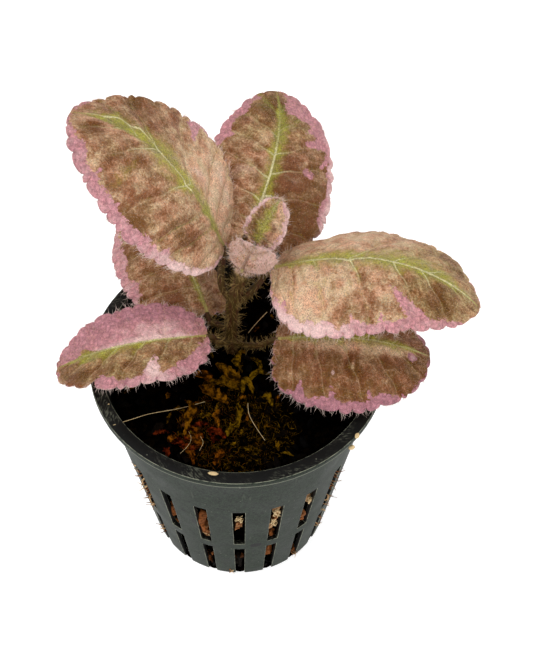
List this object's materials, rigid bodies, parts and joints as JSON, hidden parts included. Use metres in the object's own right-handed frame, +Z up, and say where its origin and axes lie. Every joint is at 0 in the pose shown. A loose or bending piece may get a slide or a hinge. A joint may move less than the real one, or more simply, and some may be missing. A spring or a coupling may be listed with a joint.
{
  "type": "flame violet in a slotted net pot",
  "caption": "Small potted house plant with hairy, scalloped, pink-edged leaves in a slotted net pot that stands on its flat base.",
  "frame": {"origin": "middle of the pot's flat underside, where it rests on a surface", "axes": "+Z up along the pot's axis, -Y towards the plant's front, +X to its right seen from the front"},
  "size_m": [0.1109, 0.1074, 0.1415],
  "materials": {
    "pot_plastic": "satin",
    "growing_mix": "matte",
    "stem_green": "matte",
    "leaf": "matte",
    "young_leaf": "matte"
  },
  "bodies": {
    "root": {"net_pot": "pot_plastic", "growing_medium": "growing_mix", "stem": "stem_green", "leaf_upper_left": "leaf", "leaf_back": "leaf", "leaf_upper_right": "leaf", "leaf_lower_right": "leaf", "leaf_lower_left": "leaf", "leaf_behind_left": "leaf", "young_leaf_front": "young_leaf", "young_leaf_back": "young_leaf"}
  },
  "joints": []
}
